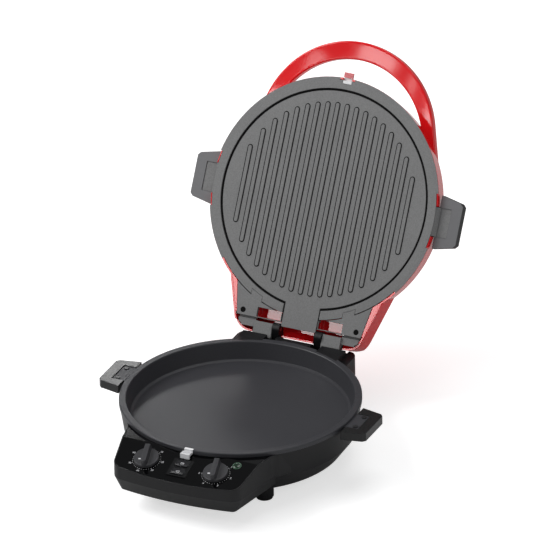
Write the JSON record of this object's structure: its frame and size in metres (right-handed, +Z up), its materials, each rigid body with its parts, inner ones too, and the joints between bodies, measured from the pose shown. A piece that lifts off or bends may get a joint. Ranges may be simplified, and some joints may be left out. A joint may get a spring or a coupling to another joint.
{
  "type": "electric pizza maker",
  "caption": "Round electric pizza maker with a red hinged lid, ribbed grill plate, deep lift-out pan, and a front control chin with dials, rocker switches and a lamp.",
  "frame": {"origin": "on the table, under the middle of the whole object's box, with the lid open", "axes": "+Z up; -Y is the side with the controls; +Y is the side with the hinge; +X is the side with the lamp"},
  "size_m": [0.399, 0.6378, 0.4351],
  "materials": {
    "black_plastic": "satin",
    "gloss_black": "gloss",
    "foot_plastic": "matt",
    "pad_rubber": "matt",
    "grip_plastic": "satin",
    "knob_plastic": "satin",
    "rocker_plastic": "gloss",
    "unit_plastic": "satin",
    "green_lens": "clear lens",
    "latch_white": "gloss",
    "latch_grey": "satin",
    "latch_pink": "gloss",
    "red_gloss": "high gloss",
    "coated_cast": "dark non-stick coating",
    "grey_cast": "speckled grey coating",
    "steel_sheet": "plain sheet",
    "reflector_steel": "bright sheet",
    "element_tube": "oxidised tube",
    "plated_steel": "zinc plated",
    "dark_screw": "blackened",
    "brass_nut": "plain",
    "ceramic": "matt ceramic"
  },
  "bodies": {
    "base": {"base_housing": "black_plastic", "bottom_cover": "steel_sheet", "cover_screws": "plated_steel", "feet": "foot_plastic", "foot_pads": "pad_rubber", "foot_screws": "plated_steel", "control_panel": "gloss_black", "timer_unit": "unit_plastic", "thermostat_unit": "unit_plastic", "shaft_nuts": "brass_nut", "switch_body": "black_plastic", "power_lamp": "green_lens", "lamp_holder": "unit_plastic", "lower_reflector": "reflector_steel", "lower_element": "element_tube", "element_clips": "plated_steel", "lower_cutout": "ceramic", "terminal_block": "ceramic", "hinge_housing": "black_plastic", "hinge_pins": "plated_steel", "cord_gland": "grip_plastic"},
    "timer_knob": {"timer_knob": "knob_plastic", "timer_shaft": "plated_steel"},
    "thermostat_knob": {"thermostat_knob": "knob_plastic", "thermostat_shaft": "plated_steel"},
    "upper_rocker": {"upper_heat_rocker": "rocker_plastic"},
    "lower_rocker": {"lower_heat_rocker": "rocker_plastic"},
    "pan_latch": {"pan_latch": "latch_white", "pan_latch_button": "latch_grey"},
    "pan": {"pan": "coated_cast", "pan_grips": "grip_plastic", "pan_rivets": "plated_steel"},
    "lid": {"lid_shell": "red_gloss", "lid_handle": "red_gloss", "handle_screws": "plated_steel", "lid_frame": "grey_cast", "frame_screws": "dark_screw", "hinge_arms": "grey_cast", "upper_reflector": "reflector_steel", "upper_element": "element_tube", "upper_clips": "plated_steel", "upper_cutout": "ceramic"},
    "grill_plate": {"grill_plate": "grey_cast", "plate_grips": "grip_plastic", "plate_rivets": "plated_steel"},
    "lid_latch": {"lid_latch": "latch_white", "lid_latch_button": "latch_pink"}
  },
  "joints": [
    {"name": "lid_hinge", "type": "hinge", "parent": "base", "child": "lid", "pos_m": [0, 0.08503, 0.0951], "axis": [-1, 0, 0], "range_deg": [-120, 0]},
    {"name": "timer_turn", "type": "hinge", "parent": "base", "child": "timer_knob", "pos_m": [-0.0515, -0.28807, 0.075], "axis": [0, 0.304, -0.9527], "range_deg": [0, 300]},
    {"name": "thermostat_turn", "type": "hinge", "parent": "base", "child": "thermostat_knob", "pos_m": [0.0515, -0.28807, 0.075], "axis": [0, 0.304, -0.9527], "range_deg": [0, 270]},
    {"name": "upper_heat_rock", "type": "hinge", "parent": "base", "child": "upper_rocker", "pos_m": [0, -0.28436, 0.07619], "axis": [1, 0, 0], "range_deg": [0, 12]},
    {"name": "lower_heat_rock", "type": "hinge", "parent": "base", "child": "lower_rocker", "pos_m": [0, -0.29884, 0.07156], "axis": [1, 0, 0], "range_deg": [0, 12]},
    {"name": "pan_latch_pull", "type": "slide", "parent": "base", "child": "pan_latch", "axis": [0, -1, 0], "range_m": [0, 0.004], "stiffness_N_per_m": 400},
    {"name": "pan_lift", "type": "slide", "parent": "base", "child": "pan", "axis": [0, 0, 1], "range_m": [0, 0.04]},
    {"name": "grill_plate_release", "type": "slide", "parent": "lid", "child": "grill_plate", "axis": [0, -0.866, 0.5], "range_m": [0, 0.025]},
    {"name": "lid_latch_pull", "type": "slide", "parent": "lid", "child": "lid_latch", "axis": [0, 0.5, 0.866], "range_m": [0, 0.004], "stiffness_N_per_m": 400}
  ]
}
